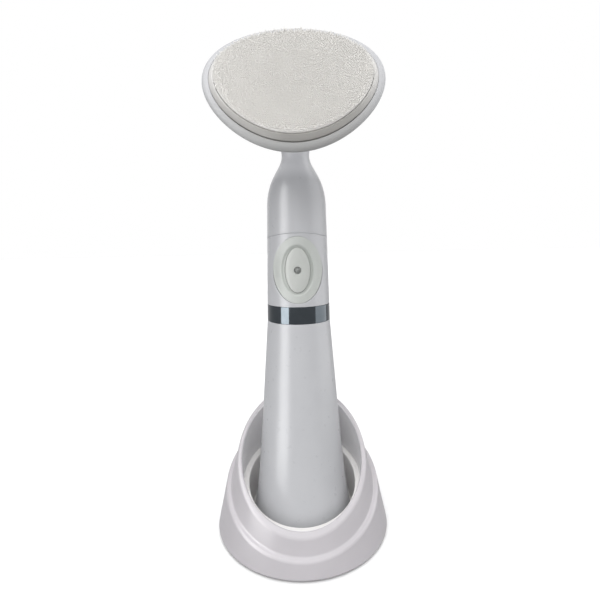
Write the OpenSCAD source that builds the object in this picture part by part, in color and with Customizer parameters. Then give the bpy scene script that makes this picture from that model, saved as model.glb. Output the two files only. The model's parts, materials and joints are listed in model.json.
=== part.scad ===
// Facial cleansing brush: a battery handle with a vibrating oval brush head, standing in a round stand.
// Origin: centre of the stand's footprint on the table. +Z is up, the brush face looks towards -Y.

/* [Stand] */
// Radius of the stand's lower tier at the table
skirt_r = 30.6; // [30.4:0.1:31.4]
// Radius of the stand's upper tier, carried down to the table
tier_r = 29.5; // [29.2:0.1:29.6]
// Height of the slanted step between the tiers, on the axis
step_z = 18.5; // [17.5:0.5:19.5]
// Slope of the step, rising towards the back, in degrees
step_angle = 23.3; // [22:0.1:24]
// Height of the slanted rim, on the axis
rim_z = 30.4; // [29.8:0.1:31]
// Slope of the rim, in degrees
rim_angle = 35.4; // [34.5:0.1:36]
// Height of the ledge inside the stand, on the axis
ledge_z = 15.7; // [15.2:0.1:16.2]
// Slope of the ledge, in degrees
ledge_angle = 17.2; // [16:0.1:18]
// Radius of the well that holds the handle
well_r = 19.1; // [18.8:0.1:19.4]

/* [Handle] */
// Radius of the handle where the lower housing meets the trim ring
ring_r = 10.7; // [10.6:0.05:10.9]
// Radius that the lower housing gains per millimetre below the ring
body_taper = 0.0793; // [0.078:0.0005:0.081]
// Extra radius of the flare at the handle's foot
flare = 1.62; // [1.4:0.02:1.7]
// Height of the trim ring's lower edge
ring_z = 74; // [73.8:0.1:74.2]
// Height of the trim ring
ring_h = 5.6; // [5:0.1:6]
// Radius of the handle at the start of the shoulder
shoulder_r = 9.75; // [9.7:0.05:9.9]
// Radius of the neck
neck_r = 4.5; // [4.4:0.1:5]
// Height of the slanted seam between the button housing and the upper housing, on the axis
seam_z = 101.15; // [101:0.05:101.4]
// Slope of the seam, falling towards the back, in degrees
seam_angle = 10; // [9:0.5:11]

/* [Button] */
// Height of the button's centre
button_z = 91.3; // [91:0.1:91.6]
// Width of the soft oval around the button
surround_w = 15.9; // [15.5:0.1:16]
// Height of the soft oval around the button
surround_h = 21.2; // [20.8:0.1:21.4]
// Width of the button
button_w = 7.6; // [7:0.1:7.6]
// Height of the button
button_h = 14; // [13:0.1:14]
// Travel of the button
button_travel = 0.4; // [0.3:0.05:0.4]

/* [Brush head] */
// Distance of the head's centre in front of the handle's axis
head_y = 15.78; // [15.6:0.02:16]
// Height of the head's centre
head_z = 144.26; // [144:0.02:144.6]
// Backward tilt of the brush face, in degrees
head_tilt = 25; // [24:0.5:26]
// Half width of the bowl
bowl_a = 26; // [25.8:0.1:26.3]
// Half height of the bowl
bowl_b = 21.7; // [21.5:0.1:22]
// Depth of the bowl behind its lip
bowl_depth = 12; // [11.8:0.1:12.4]
// Half width of the bezel
bezel_a = 23.9; // [23.7:0.1:24.1]
// Half height of the bezel
bezel_b = 19.3; // [19.1:0.1:19.5]
// Half width of the bristle pad
pad_a = 22.3; // [22:0.1:22.4]
// Half height of the bristle pad
pad_b = 17.8; // [17.5:0.1:17.9]
// Height of the bristle tips at the pad's edge above the bezel's joint line
pad_h = 2.1; // [2:0.1:2.4]
// How much wider the outline is at its top than at its bottom
egg = 0.18; // [0.15:0.01:0.2]

/* [Cells] */
// Radius of one cell
cell_r = 5.15; // [5:0.05:5.15]
// Distance of each cell's axis from the handle's axis
cell_x = 5.35; // [5.25:0.05:5.35]

/* [Hidden] */

$fn = 96;
big = 200;
tiny = 0.01;

// Stand
skirt_z = 0.8;
skirt_taper = 0.22;
tier_taper = 0.25;
shell_wall = 1.6;
rim_y = -4;
rim_inner_r = 20.75;
ledge_outer_r = 21;
cup_floor_z = 3.6;
cup_bottom_z = 2.4;
cup_wall = 1.3;
flange_r = 21.9;
flange_t = 1.5;
plate_r = 28.2;
tower_r = 2.8;
tower_pos = 24.6;
tower_z = 8;
screw_r = 1;
screw_head_r = 1.9;
foot_r = 4;
foot_pos = 22.5;

// Handle
body_z = 4;
flare_length = 9.6;
body_wall = 1.4;
bore_r = 14.2;
bore_z = 16;
recess_r = 16;
recess_z = 5.6;
ring_top = ring_z + ring_h;
shoulder_z = 111;
shoulder_bend = 121.5;
neck_bend = 123.5;
neck_z = 128;
passage_r = 2.8;
head_passage_r = 2.3;
inner_r = 9.15;
tube_r = 8.4;
tube_wall = 1.2;
tube_top = 108;
spigot_z = 70;
spigot_h = 8;
seal_z = 72;

// Battery cap
cap_r = 15.8;
cap_top = 5.4;
collar_r = 14;
collar_inner = 12.6;
collar_top = 12;
lug_r = 14.8;
lug_z = 9;
lug_h = 1.6;
lug_span = 14;
lug_count = 3;
twist = 20;
slot_r = 15;
slot_gap = 0.3;
slot_side = 2;
contact_z = 8.2;
contact_t = 1.4;
contact_r = 12.4;
strip_z = contact_z + contact_t;
key_y = 9.5;

// Cells
cell_z = 11.5;
cell_length = 44.5;
cell_nub = 1;
cell_top = cell_z + cell_length;
carrier_z = 12.3;
carrier_top = 57.2;
carrier_plate = 1.6;
carrier_r = 10.2;
carrier_foot_r = 13.3;

// Circuit board
pcb_y = -3.2;
pcb_t = 1.2;
switch_z = 86.6;
screw_z1 = 81.6;
screw_z2 = 99.6;
lead_r = 0.5;

// Button: radii of its curved faces about the handle's axis
surround_face = 10.45;
surround_back = 9;
groove_face = 10.1;
button_face = 10.45;
button_back = 8.3;
groove_w = 10.1;
groove_h = 15.7;

// Head
lip_n = -1;
bowl_wall = 1.6;
bowl_lift = 0.25;
bowl_lift_depth = 5;
bowl_end_size = 0.12;
seat_n = -3.5;
gasket_a = 22.7;
gasket_b = 18.3;
gasket_w = 1.6;
gasket_t = 0.8;
bezel_foot = -3.4;
bezel_top = 1.3;
plate_gap = 0.35;
plate_n = -2;
plate_t = 1.4;
pad_outline = [
    [-0.5, plate_n + plate_t],
    [-0.4, bezel_top],
    [0.2, bezel_top + 0.5],
    [0.2, pad_h],
    [-0.7, pad_h + 0.3],
    [-8, pad_h + 0.4]
];
motor_r = 3;
motor_n = -6.2;
motor_w = 1.6;
motor_x = -7;
motor_length = 12;
shaft_r = 0.5;

// ---------- curves ----------

// Radius of the lower housing at height z
function body_r(z) = ring_r + body_taper * (ring_z - z) + flare * exp((body_z - z) / flare_length);

// Radius of the straight part above the ring at height z
function upper_r(z) = ring_r - 0.1 - (z - ring_top) * (ring_r - 0.1 - shoulder_r) / (shoulder_z - ring_top);

// Point of a cubic Bezier curve
function bezier(p, t) =
    pow(1 - t, 3) * p[0] + 3 * pow(1 - t, 2) * t * p[1] + 3 * (1 - t) * t * t * p[2] + pow(t, 3) * p[3];

// The shoulder's outline, drawn in by the given wall
function shoulder(wall) = [
    for (i = [0:12])
        bezier(
            [
                [shoulder_r - wall, shoulder_z - wall / 2],
                [shoulder_r - wall, shoulder_bend - wall / 2],
                [neck_r - wall, neck_bend - wall],
                [neck_r - wall, neck_z]
            ],
            i / 12
        )
];

// Egg outline in the plane of the brush face
function egg_xy(a, b, count = 48) = [
    for (i = [0:count - 1])
        let (t = 360 * i / count)
            [a * cos(t) * (1 + egg * sin(t)), b * sin(t)]
];

// Size of the bowl's section at depth d, as a part of the lip's size
function bowl_size(d) = pow(1 - pow(min(d, bowl_depth) / bowl_depth, 1.8), 0.75);

// How far up the face the bowl's section at depth d is moved
function bowl_shift(d) = bowl_lift * min(d, bowl_lift_depth);

// Points of a helix from height 0 to h
function helix(r, h, turns) = [
    for (i = [0:turns * 16])
        [r * cos(22.5 * i), r * sin(22.5 * i), h * i / (turns * 16)]
];

// A point given in the head's own frame: across, up the face, and out along its normal
function head_point(x, w, n) = [
    x,
    -head_y + w * sin(head_tilt) - n * cos(head_tilt),
    head_z + w * cos(head_tilt) + n * sin(head_tilt)
];

// Oval outline
function oval(w, h) = [for (i = [0:47]) [w / 2 * cos(7.5 * i), h / 2 * sin(7.5 * i)]];

// ---------- shared shapes ----------

// Everything below a plane that crosses the axis at height z and rises towards the back
module below(z, angle) {
    translate([0, 0, z])
        rotate([angle, 0, 0])
            translate([-big, -big, -2 * big])
                cube([2 * big, 2 * big, 2 * big]);
}

// A ring with an inner and an outer radius
module ring(outer, inner, h) {
    difference() {
        cylinder(r = outer, h = h);
        translate([0, 0, -tiny])
            cylinder(r = inner, h = h + 2 * tiny);
    }
}

// A round seal
module seal(major, minor) {
    rotate_extrude()
        translate([major, 0])
            circle(r = minor, $fn = 24);
}

// Rings of points joined into one closed solid
module loft(rings) {
    count = len(rings[0]);
    last = len(rings) - 1;
    polyhedron(
        points = [for (ring = rings) for (p = ring) p],
        faces = concat(
            [[for (i = [0:count - 1]) i]],
            [[for (i = [0:count - 1]) last * count + count - 1 - i]],
            [
                for (k = [0:last - 1])
                    for (i = [0:count - 1])
                        [k * count + i, (k + 1) * count + i, (k + 1) * count + (i + 1) % count]
            ],
            [
                for (k = [0:last - 1])
                    for (i = [0:count - 1])
                        [k * count + i, (k + 1) * count + (i + 1) % count, k * count + (i + 1) % count]
            ]
        )
    );
}

// A round wire along points that run upwards
module coil_wire(path, r) {
    sides = 8;
    loft([
        for (k = [0:len(path) - 1])
            let (
                a = atan2(path[k][1], path[k][0]),
                out = [cos(a), sin(a), 0]
            )
                [for (i = [0:sides - 1]) path[k] + r * (cos(45 * i) * out + sin(45 * i) * [0, 0, 1])]
    ]);
}

// A compressed spring standing on the XY plane
module spring(r, h, wire, turns) {
    translate([0, 0, wire])
        coil_wire(helix(r, h - 2 * wire, turns), wire);
}

// A wire along points that run upwards
module wire(path, r) {
    loft([for (p = path) [for (i = [0:11]) p + r * [cos(30 * i), sin(30 * i), 0]]]);
}

// A pan-head screw that points up, its head's underside at height 0
module screw(head_r, head_h, shank_r, length) {
    difference() {
        union() {
            translate([0, 0, -head_h])
                cylinder(r = head_r, h = head_h, $fn = 32);
            cylinder(r = shank_r, h = length, $fn = 32);
        }
        for (a = [0, 90])
            rotate([0, 0, a])
                translate([-head_r * 0.6, -0.2, -head_h - tiny])
                    cube([head_r * 1.2, 0.4, head_h / 2]);
    }
}

// Places its children in the head's own frame: X is width, Y runs up the face, Z is its outward normal
module in_head() {
    translate([0, -head_y, head_z])
        rotate([90 - head_tilt, 0, 0])
            children();
}

// A slab of the egg outline between two heights along the face's normal
module egg_slab(a, b, n0, n1) {
    translate([0, 0, n0])
        linear_extrude(height = n1 - n0)
            polygon(egg_xy(a, b));
}

// An oval bar through the front of the handle
module oval_bar(w, h) {
    translate([0, 0, button_z])
        rotate([90, 0, 0])
            linear_extrude(height = 20)
                polygon(oval(w, h));
}

// The part of a thin tube about the handle's axis that an oval cuts out
module oval_tile(w, h, face, back) {
    intersection() {
        translate([0, 0, button_z - 15])
            ring(face, back, 30);
        oval_bar(w, h);
    }
}

// Copies its children round the stand
module round_stand(count, start, r) {
    for (i = [0:count - 1])
        rotate([0, 0, start + i * 360 / count])
            translate([r, 0, 0])
                children();
}

// ---------- stand ----------

// One tier of the stand, drawn in by a wall
module tier(r, taper, z, angle, wall) {
    foot = wall > 0 ? -1 : skirt_z;
    intersection() {
        translate([0, 0, foot])
            cylinder(r1 = r - taper * foot - wall, r2 = r - taper * 60 - wall, h = 60 - foot);
        below(z - wall, angle);
    }
}

// Both tiers together
module tiers(wall) {
    tier(skirt_r, skirt_taper, step_z, step_angle, wall);
    tier(tier_r, tier_taper, rim_z, rim_angle, wall);
}

// A thin slice of an upright cylinder, cut along a slanted plane
module slanted_disc(r, z, angle) {
    intersection() {
        translate([0, 0, -big / 4])
            cylinder(r = r, h = big, $fn = 64);
        difference() {
            below(z, angle);
            below(z - 0.05, angle);
        }
    }
}

// The oval hollow between the rim and the ledge, grown by a wall
module funnel(wall) {
    top = wall > 0 ? 0 : 3;
    hull() {
        translate([0, rim_y, 0])
            slanted_disc(rim_inner_r + wall, rim_z + rim_y * tan(rim_angle) + top, rim_angle);
        slanted_disc(ledge_outer_r + wall, ledge_z + 0.05, ledge_angle);
    }
}

module stand_shell()
color("gainsboro") {
    difference() {
        union() {
            difference() {
                tiers(0);
                difference() {
                    tiers(shell_wall);
                    funnel(shell_wall);
                }
            }
            round_stand(4, 0, tower_pos)
                translate([0, 0, cup_floor_z])
                    cylinder(r = tower_r, h = tower_z - cup_floor_z, $fn = 48);
            round_stand(4, 0, tower_pos)
                translate([0, -0.6, cup_floor_z])
                    cube([3.3, 1.2, 1.6]);
        }
        funnel(0);
        round_stand(4, 0, tower_pos)
            translate([0, 0, cup_floor_z - tiny])
                cylinder(r = screw_r, h = 3.6, $fn = 32);
    }
}

module stand_cup()
color("whitesmoke") {
    difference() {
        union() {
            intersection() {
                translate([0, 0, cup_bottom_z])
                    cylinder(r = well_r + cup_wall, h = 40);
                below(ledge_z, ledge_angle);
            }
            difference() {
                intersection() {
                    translate([0, 0, cup_bottom_z])
                        cylinder(r = flange_r, h = 40);
                    below(ledge_z, ledge_angle);
                }
                below(ledge_z - flange_t, ledge_angle);
            }
        }
        translate([0, 0, cup_floor_z])
            cylinder(r = well_r, h = 40);
    }
}

module stand_base_plate()
color("lightgray") {
    difference() {
        union() {
            translate([0, 0, skirt_z])
                cylinder(r = plate_r, h = cup_bottom_z - skirt_z);
            round_stand(4, 0, tower_pos)
                translate([0, 0, skirt_z])
                    cylinder(r = tower_r, h = cup_floor_z - skirt_z, $fn = 48);
        }
        round_stand(4, 0, tower_pos) {
            translate([0, 0, -tiny])
                cylinder(r = screw_head_r + 0.2, h = cup_bottom_z + tiny, $fn = 32);
            translate([0, 0, cup_bottom_z])
                cylinder(r = screw_r + 0.15, h = 4, $fn = 32);
        }
        round_stand(4, 45, foot_pos)
            translate([0, 0, -tiny])
                cylinder(r = foot_r, h = 1.3 + tiny, $fn = 48);
    }
}

module stand_feet()
color("silver") {
    round_stand(4, 45, foot_pos)
        rotate_extrude($fn = 48)
            polygon([[0, 0], [foot_r - 0.6, 0], [foot_r - 0.1, 0.5], [foot_r - 0.1, 1.3], [0, 1.3]]);
}

module stand_screws()
color("darkgray") {
    round_stand(4, 0, tower_pos)
        translate([0, 0, cup_bottom_z])
            screw(screw_head_r, 1.2, screw_r, 4.6);
}

// ---------- battery cap and its contacts ----------

// Ring sectors for the bayonet, spread round the axis
module bayonet(inner, outer, z, h, start, span) {
    for (i = [0:lug_count - 1])
        rotate([0, 0, start + i * 360 / lug_count])
            translate([0, 0, z])
                rotate_extrude(angle = span)
                    translate([inner, 0])
                        square([outer - inner, h]);
}

module battery_cap()
color("whitesmoke") {
    difference() {
        union() {
            translate([0, 0, cup_floor_z])
                cylinder(r = cap_r, h = cap_top - cup_floor_z);
            translate([0, 0, cap_top - tiny])
                cylinder(r = collar_r, h = collar_top - cap_top + tiny);
            bayonet(collar_r - 0.3, lug_r, lug_z, lug_h, 0, lug_span);
        }
        translate([0, 0, cap_top])
            cylinder(r = collar_inner - 0.8, h = 20);
        difference() {
            translate([0, 0, contact_z])
                cylinder(r = collar_inner, h = 20);
            translate([0, 0, strip_z + 0.2])
                ring(collar_inner + 1, collar_inner - 0.6, 0.6);
        }
        translate([0, 0, 4.5])
            seal(cap_r - 0.35, 0.55);
        translate([-7, -0.9, cup_floor_z - tiny])
            cube([14, 1.8, 0.9]);
    }
}

module cap_seal()
color("dimgray") {
    translate([0, 0, 4.5])
        seal(cap_r - 0.35, 0.5);
}

module contact_plate()
color("darkgray") {
    difference() {
        translate([0, 0, contact_z])
            cylinder(r = contact_r, h = contact_t);
        translate([0, 0, contact_z - tiny])
            cylinder(r = 1.2, h = 5, $fn = 32);
    }
    for (side = [-1, 1])
        translate([-1.5, side * key_y - 0.6, contact_z + tiny])
            cube([3, 1.2, 5.6]);
}

module bridge_contact()
color("goldenrod") {
    difference() {
        translate([-8.5, -3.6, strip_z])
            cube([17, 7.2, 0.3]);
        translate([0, 0, strip_z - tiny])
            cylinder(r = 1.2, h = 1, $fn = 32);
    }
    translate([cell_x, 0, strip_z + 0.3 - tiny])
        cylinder(r1 = 2, r2 = 1.6, h = cell_z - strip_z - 0.35 + tiny, $fn = 32);
}

module bridge_spring()
color("silver") {
    translate([-cell_x, 0, strip_z + 0.3])
        spring(2.9, cell_z - strip_z - 0.35, 0.25, 2);
}

// ---------- handle housings ----------

module lower_housing()
color("gainsboro") {
    foot_steps = [6:2:16];
    steps = [20:5:70];
    difference() {
        rotate_extrude($fn = 128)
            polygon(concat(
                [[0, body_z], [body_r(body_z) - 0.7, body_z], [body_r(4.5), 4.5]],
                [for (z = foot_steps) [body_r(z), z]],
                [for (z = steps) [body_r(z), z]],
                [[ring_r, ring_z], [0, ring_z]]
            ));
        rotate_extrude($fn = 128)
            polygon(concat(
                [[0, bore_z], [body_r(bore_z) - body_wall, bore_z]],
                [for (z = steps) [body_r(z) - body_wall, z]],
                [[ring_r - body_wall, ring_z], [ring_r - body_wall, ring_z + 1], [0, ring_z + 1]]
            ));
        translate([0, 0, body_z - 1])
            cylinder(r = bore_r, h = bore_z - body_z + 1 + tiny);
        translate([0, 0, body_z - 1])
            cylinder(r = recess_r, h = recess_z - body_z + 1);
        bayonet(
            bore_r - 0.3, slot_r, recess_z - 1, lug_z + lug_h + slot_gap - recess_z + 1,
            -slot_side, lug_span + 2 * slot_side
        );
        bayonet(
            bore_r - 0.3, slot_r - 0.05, lug_z - slot_gap, lug_h + 2 * slot_gap - 0.05,
            -slot_side - twist, lug_span + 2 * slot_side + twist + 0.5
        );
    }
}

module chrome_ring()
color("slategray") {
    difference() {
        translate([0, 0, ring_z])
            cylinder(r1 = ring_r, r2 = ring_r - 0.1, h = ring_h, $fn = 128);
        translate([0, 0, ring_z - 1])
            cylinder(r = inner_r, h = ring_h + 2);
    }
}

// Solid outline of everything above the ring, drawn in by a wall
module upper_form(wall, foot) {
    rotate_extrude($fn = 128)
        polygon(concat(
            [[0, foot], [upper_r(foot) - wall, foot]],
            shoulder(wall),
            [[neck_r - wall, neck_z + 2], [0, neck_z + 2]]
        ));
}

module button_housing()
color("gainsboro") {
    difference() {
        intersection() {
            upper_form(0, ring_top);
            below(seam_z, -seam_angle);
        }
        translate([0, 0, ring_top - 1])
            cylinder(r1 = inner_r, r2 = inner_r - 0.55, h = 30);
        oval_bar(surround_w, surround_h);
    }
}

// The bowl, drawn in by a wall: its sections at parts of its depth, then its front edge
module bowl(wall, parts, front) {
    size_a = bowl_a - wall;
    size_b = bowl_b - wall;
    depth = bowl_depth - wall;
    loft(concat(
        [
            for (d = parts)
                [
                    for (p = egg_xy(size_a, size_b))
                        let (s = d == 1 ? bowl_end_size : bowl_size(d * bowl_depth))
                            [p[0] * s, p[1] * s + bowl_shift(d * depth), lip_n - d * depth]
                ]
        ],
        [
            for (r = front)
                [for (p = egg_xy(size_a + r[0], size_b + r[0])) [p[0], p[1], r[1]]]
        ]
    ));
}

// The blend from the round neck into the bowl's back
module neck_root() {
    root_r = neck_r + 0.1;
    plug_r = neck_r - 0.5;
    loft(concat(
        [[for (i = [0:31]) [plug_r * cos(11.25 * i), plug_r * sin(11.25 * i), neck_z - 0.8]]],
        [
            for (k = [0:8])
                [
                    for (i = [0:31])
                        let (c = cos(11.25 * i), s = sin(11.25 * i))
                            bezier(
                                [
                                    [root_r * c, root_r * s, neck_z - 0.3],
                                    [root_r * c, root_r * s, neck_z + 3.6],
                                    head_point(7.5 * c, -3 + 5.5 * s, -13),
                                    head_point(13 * c, 0.2 + 10.5 * s, -9.8)
                                ],
                                k / 8
                            )
                ]
        ]
    ));
}

module upper_housing()
color("gainsboro") {
    difference() {
        union() {
            difference() {
                upper_form(0, ring_top);
                below(seam_z, -seam_angle);
            }
            in_head()
                bowl(0, [1, 0.9, 0.75, 0.6, 0.45, 0.3, 0.18, 0.08], [[0, lip_n], [-0.5, -0.35], [-1.3, 0]]);
            neck_root();
        }
        difference() {
            upper_form(1.3, ring_top);
            translate([0, 0, 124])
                cylinder(r = 20, h = 40);
        }
        translate([0, 0, 120])
            cylinder(r = passage_r, h = 12, $fn = 48);
        translate([0, 0, 130])
            rotate([45, 0, 0])
                cylinder(r = head_passage_r, h = 14, $fn = 48);
        in_head() {
            bowl(bowl_wall, [1, 0.9, 0.75, 0.6, 0.45, 0.3], [[-1.5, seat_n + 0.4]]);
            egg_slab(bezel_a + 0.05, bezel_b + 0.05, seat_n, 3);
            egg_slab(gasket_a + 0.1, gasket_b + 0.1, seat_n - gasket_t - 0.05, seat_n + 1);
        }
    }
}

module core_tube()
color("lightgray") {
    difference() {
        union() {
            translate([0, 0, carrier_top + carrier_plate])
                cylinder(r = tube_r, h = tube_top - carrier_top - carrier_plate);
            translate([0, 0, carrier_top + carrier_plate])
                cylinder(r = tube_r + 1.4, h = 2);
            translate([0, 0, spigot_z])
                cylinder(r = inner_r - 0.05, h = spigot_h);
        }
        difference() {
            translate([0, 0, 50])
                cylinder(r = tube_r - tube_wall, h = 60);
            for (z = [screw_z1, screw_z2])
                translate([0, 10, z])
                    rotate([90, 0, 0])
                        cylinder(r = 2.1, h = 10 - pcb_y - pcb_t, $fn = 48);
        }
        for (z = [screw_z1, screw_z2])
            translate([0, 4, z])
                rotate([90, 0, 0])
                    cylinder(r = 0.75, h = 8, $fn = 32);
        translate([-6.4, -12, 79.4])
            cube([12.8, 12 + pcb_y + pcb_t, 23]);
        translate([0, 0, seal_z])
            seal(inner_r - 0.3, 0.5);
    }
}

module joint_seal()
color("dimgray") {
    translate([0, 0, seal_z])
        seal(inner_r - 0.3, 0.44);
}

// ---------- battery compartment ----------

module battery_carrier()
color("darkgray") {
    difference() {
        union() {
            translate([0, 0, carrier_z])
                cylinder(r = carrier_foot_r, h = carrier_plate);
            translate([-7, -carrier_r, carrier_z])
                intersection() {
                    cube([14, 2 * carrier_r, carrier_top - carrier_z + tiny]);
                    translate([7, carrier_r, 0])
                        cylinder(r = carrier_r, h = 60);
                }
            translate([0, 0, carrier_top])
                cylinder(r = carrier_r, h = carrier_plate);
        }
        for (side = [-1, 1]) {
            translate([side * cell_x, 0, carrier_z - 1])
                cylinder(r = cell_r + 0.1, h = carrier_top - carrier_z + 1);
            translate([-1.8, side * key_y - 0.9, carrier_z - 1])
                cube([3.6, 1.8, 3]);
            translate([side * 3.5, 4, carrier_top - 1])
                cylinder(r = 1, h = 4, $fn = 32);
        }
    }
}

// One cell, its positive end up
module cell() {
    rotate_extrude($fn = 64)
        polygon([
            [0, 0], [cell_r - 0.3, 0], [cell_r, 0.3], [cell_r, cell_length - cell_nub - 0.3],
            [cell_r - 0.3, cell_length - cell_nub], [1.9, cell_length - cell_nub], [1.9, cell_length],
            [0, cell_length]
        ]);
}

module battery_left()
color("steelblue") {
    translate([-cell_x, 0, cell_z])
        cell();
}

module battery_right()
color("steelblue") {
    translate([cell_x, 0, cell_top])
        mirror([0, 0, 1])
            cell();
}

module terminal_tab()
color("goldenrod") {
    translate([-cell_x - 3, -2.5, carrier_top - 0.3])
        cube([6, 5, 0.3]);
    translate([-cell_x, 0, cell_top])
        cylinder(r = 1.5, h = carrier_top - cell_top - 0.3 + tiny, $fn = 32);
}

module terminal_spring()
color("silver") {
    translate([cell_x, 0, cell_top])
        spring(2.9, carrier_top - cell_top, 0.22, 2);
}

module battery_leads()
color("firebrick") {
    for (side = [-1, 1])
        wire([[side * 3.5, 4, carrier_top + 0.6], [side * 4.6, 3.5, 68], [side * 4.6, -1.2, 80.5]], lead_r);
}

// ---------- circuit board ----------

module pcb()
color("seagreen") {
    difference() {
        translate([-6.2, pcb_y, 79.8])
            cube([12.4, pcb_t, 22.2]);
        for (z = [screw_z1, screw_z2])
            translate([0, 1, z])
                rotate([90, 0, 0])
                    cylinder(r = 0.95, h = 8, $fn = 32);
    }
}

module pcb_parts()
color("dimgray") {
    back = pcb_y + pcb_t;
    translate([-2.5, back, 88.6])
        cube([5, 1.2, 5]);
    translate([3.9, back, 85.4])
        rotate([-90, 0, 0])
            cylinder(r = 1.9, h = 4, $fn = 48);
    translate([-5.2, back, 84])
        cube([2.6, 1.6, 2.6]);
    for (z = [95, 97])
        translate([3.4, pcb_y - 0.5, z])
            cube([2, 0.5, 1.1]);
    translate([-5.4, pcb_y - 0.5, 95])
        cube([2, 0.5, 1.1]);
}

module pcb_screws()
color("silver") {
    for (z = [screw_z1, screw_z2])
        translate([0, pcb_y, z])
            rotate([-90, 0, 0])
                screw(1.5, 0.9, 0.75, 5.6);
}

module switch_body()
color("darkslategray") {
    difference() {
        translate([-2.25, pcb_y - 1.8, switch_z - 2.25])
            cube([4.5, 1.8, 4.5]);
        translate([0, pcb_y - 0.6, switch_z])
            rotate([90, 0, 0])
                cylinder(r = 1.15, h = 5, $fn = 32);
    }
}

module switch_plunger()
color("ivory") {
    translate([0, -4.5, switch_z])
        rotate([90, 0, 0])
            cylinder(r = 1.1, h = 2.1, $fn = 32);
}

module status_led()
color("lightgreen") {
    translate([0, pcb_y, button_z]) {
        rotate([90, 0, 0])
            cylinder(r = 1.3, h = 1.7, $fn = 32);
        translate([0, -1.7, 0])
            sphere(r = 1.3, $fn = 32);
    }
}

module motor_leads()
color("firebrick") {
    for (side = [-1, 1])
        wire(
            [
                [side * 1.2, -1.4, 101.4],
                [side * 1.2, 0, 110],
                [side * 1.2, 0, 131],
                [side * 1.4, -5, 136.4]
            ],
            lead_r
        );
}

// ---------- button ----------

module button_surround()
color("darkseagreen") {
    difference() {
        oval_tile(surround_w - 0.05, surround_h - 0.05, surround_face, surround_back);
        oval_tile(groove_w, groove_h, surround_face + 1, groove_face);
        oval_bar(button_w + 0.4, button_h + 0.4);
    }
}

module button_cap()
color("honeydew") {
    difference() {
        union() {
            oval_tile(button_w, button_h, button_face, button_back);
            oval_tile(button_w + 1.6, button_h + 1.6, surround_back - 0.2, button_back);
            translate([0, -8.6, switch_z])
                rotate([-90, 0, 0])
                    cylinder(r = 1.2, h = 1.95, $fn = 32);
        }
        translate([0, 0, button_z])
            rotate([90, 0, 0])
                cylinder(r = 1.1, h = 20, $fn = 32);
    }
}

module light_pipe()
color("dimgray") {
    translate([0, -7.2, button_z])
        rotate([90, 0, 0])
            cylinder(r = 1.1, h = 3.15, $fn = 32);
}

// ---------- brush head ----------

module brush_bezel()
color("white") {
    in_head()
        difference() {
            loft([
                for (r = [[0, bezel_foot], [0, 0.1], [-0.4, 0.6], [-1.15, bezel_top]])
                    [for (p = egg_xy(bezel_a + r[0], bezel_b + r[0])) [p[0], p[1], r[1]]]
            ]);
            egg_slab(pad_a, pad_b, -5, 3);
        }
}

module plate_gasket()
color("lightgray") {
    in_head()
        difference() {
            egg_slab(gasket_a, gasket_b, seat_n - gasket_t, seat_n);
            egg_slab(gasket_a - gasket_w, gasket_b - gasket_w, -5, 0);
        }
}

module brush_plate()
color("whitesmoke") {
    in_head() {
        egg_slab(pad_a - plate_gap, pad_b - plate_gap, plate_n, plate_n + plate_t);
        translate([motor_x - 1, motor_w - 1.2, motor_n + motor_r + 0.5])
            cube([1, 2.4, plate_n - motor_n - motor_r - 0.5 + tiny]);
        translate([motor_x + motor_length, motor_w - 1.2, motor_n + motor_r + 0.5])
            cube([1, 2.4, plate_n - motor_n - motor_r - 0.5 + tiny]);
    }
}

module bristle_pad()
color("linen") {
    in_head()
        loft([
            for (r = pad_outline)
                [for (p = egg_xy(pad_a + r[0], pad_b + r[0])) [p[0], p[1], r[1]]]
        ]);
}

module motor_can()
color("silver") {
    in_head()
        difference() {
            union() {
                translate([motor_x, motor_w, motor_n])
                    rotate([0, 90, 0])
                        cylinder(r = motor_r, h = motor_length, $fn = 64);
                translate([motor_x + motor_length - tiny, motor_w, motor_n])
                    rotate([0, 90, 0])
                        cylinder(r = 1.2, h = 0.7, $fn = 32);
            }
            translate([motor_x + 3, motor_w, motor_n])
                rotate([0, 90, 0])
                    cylinder(r = shaft_r + 0.05, h = motor_length, $fn = 32);
        }
}

module motor_clip()
color("dimgray") {
    in_head()
        difference() {
            translate([motor_x + 1.5, motor_w - motor_r - 1, motor_n - motor_r - 0.4])
                cube([motor_length - 3, 2 * motor_r + 2, plate_n - motor_n + motor_r + 0.4]);
            translate([motor_x, motor_w, motor_n])
                rotate([0, 90, 0])
                    cylinder(r = motor_r, h = motor_length, $fn = 64);
        }
}

module motor_shaft()
color("gray") {
    in_head()
        translate([motor_x + 3.5, motor_w, motor_n])
            rotate([0, 90, 0])
                cylinder(r = shaft_r, h = 13.5, $fn = 32);
}

module eccentric_weight()
color("dimgray") {
    in_head()
        translate([motor_x + motor_length + 1.4, motor_w, motor_n])
            rotate([0, 90, 0])
                difference() {
                    union() {
                        rotate([0, 0, 90])
                            rotate_extrude(angle = 180, $fn = 48)
                                square([2.6, 3]);
                        cylinder(r = 1.2, h = 3, $fn = 32);
                    }
                    translate([0, 0, -1])
                        cylinder(r = shaft_r, h = 5, $fn = 32);
                }
}

stand_shell();
stand_cup();
stand_base_plate();
stand_feet();
stand_screws();
battery_cap();
cap_seal();
contact_plate();
bridge_contact();
bridge_spring();
lower_housing();
chrome_ring();
button_housing();
upper_housing();
core_tube();
joint_seal();
battery_carrier();
battery_left();
battery_right();
terminal_tab();
terminal_spring();
battery_leads();
pcb();
pcb_parts();
pcb_screws();
switch_body();
status_led();
motor_leads();
button_surround();
button_cap();
light_pipe();
switch_plunger();
brush_bezel();
plate_gasket();
brush_plate();
bristle_pad();
motor_can();
motor_clip();
motor_shaft();
eccentric_weight();
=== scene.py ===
"""Looks of the facial cleansing brush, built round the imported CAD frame.

Lengths are in millimetres until a mesh is made. The brush face looks towards -Y, and +Z is up.
"""

import json
import math

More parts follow.
